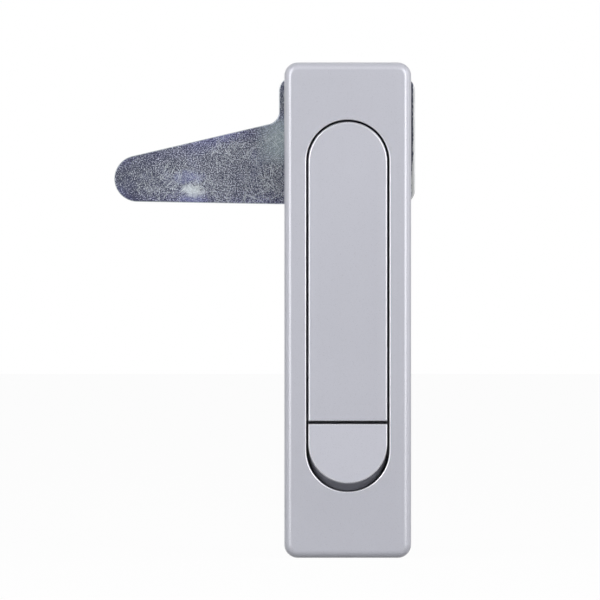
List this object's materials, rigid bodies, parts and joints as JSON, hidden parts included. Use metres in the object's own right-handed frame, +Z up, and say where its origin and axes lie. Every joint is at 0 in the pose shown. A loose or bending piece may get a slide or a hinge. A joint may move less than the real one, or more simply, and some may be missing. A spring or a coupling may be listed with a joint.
{
  "type": "swing handle lock",
  "caption": "Flush swing handle lock for a cabinet door: push button, hinged pop-out handle and a pawl cam behind the door.",
  "frame": {"origin": "on the spindle's axis, in the plane of the door's outer surface", "axes": "+Z up along the lock with the button at the bottom, -Y out of the door towards the user, +X to the right as seen from outside"},
  "size_m": [0.077, 0.035, 0.125],
  "materials": {
    "die_cast_satin": "satin silver-grey",
    "black_rubber": "matte",
    "zinc_plated_steel": "mottled bright zinc plate",
    "bright_steel": "bright",
    "turned_steel": "fine turned",
    "bare_zinc": "as cast, bare",
    "spring_steel": "drawn wire",
    "bearing_plastic": "moulded, off-white"
  },
  "bodies": {
    "case": {"housing": "die_cast_satin", "door_gasket": "black_rubber", "handle_bumper": "black_rubber", "hinge_yoke": "bare_zinc", "handle_spring": "spring_steel", "spindle_bush": "bearing_plastic", "catch_screw": "bright_steel", "catch_spring": "spring_steel", "button_springs": "spring_steel"},
    "lever": {"handle": "die_cast_satin", "hinge_pin": "bright_steel"},
    "drive": {"spindle": "turned_steel", "spindle_oring": "black_rubber", "yoke_screw": "bright_steel", "stop_washer": "zinc_plated_steel", "cam": "zinc_plated_steel", "cam_washer": "zinc_plated_steel", "cam_lock_washer": "zinc_plated_steel", "cam_bolt": "zinc_plated_steel"},
    "button": {"push_button": "die_cast_satin"},
    "catch": {"catch_slide": "bare_zinc"}
  },
  "joints": [
    {"name": "handle_lift", "type": "hinge", "parent": "case", "child": "lever", "pos_m": [0, -0.0038, 0], "axis": [-1, 0, 0], "range_deg": [0, 45]},
    {"name": "spindle_turn", "type": "hinge", "parent": "case", "child": "drive", "pos_m": [0, 0, 0], "axis": [0, -1, 0], "range_deg": [0, 90]},
    {"name": "button_press", "type": "slide", "parent": "case", "child": "button", "axis": [0, 1, 0], "range_m": [0, 0.003], "stiffness_N_per_m": 600, "springref_m": -0.002, "deforming": ["button_springs"]},
    {"name": "catch_retract", "type": "slide", "parent": "case", "child": "catch", "axis": [0, 0, -1], "range_m": [0, 0.0018], "deforming": ["catch_spring"]}
  ],
  "couplings": [
    {"joint": "catch_retract", "follows": "button_press", "ratio": 0.6}
  ]
}
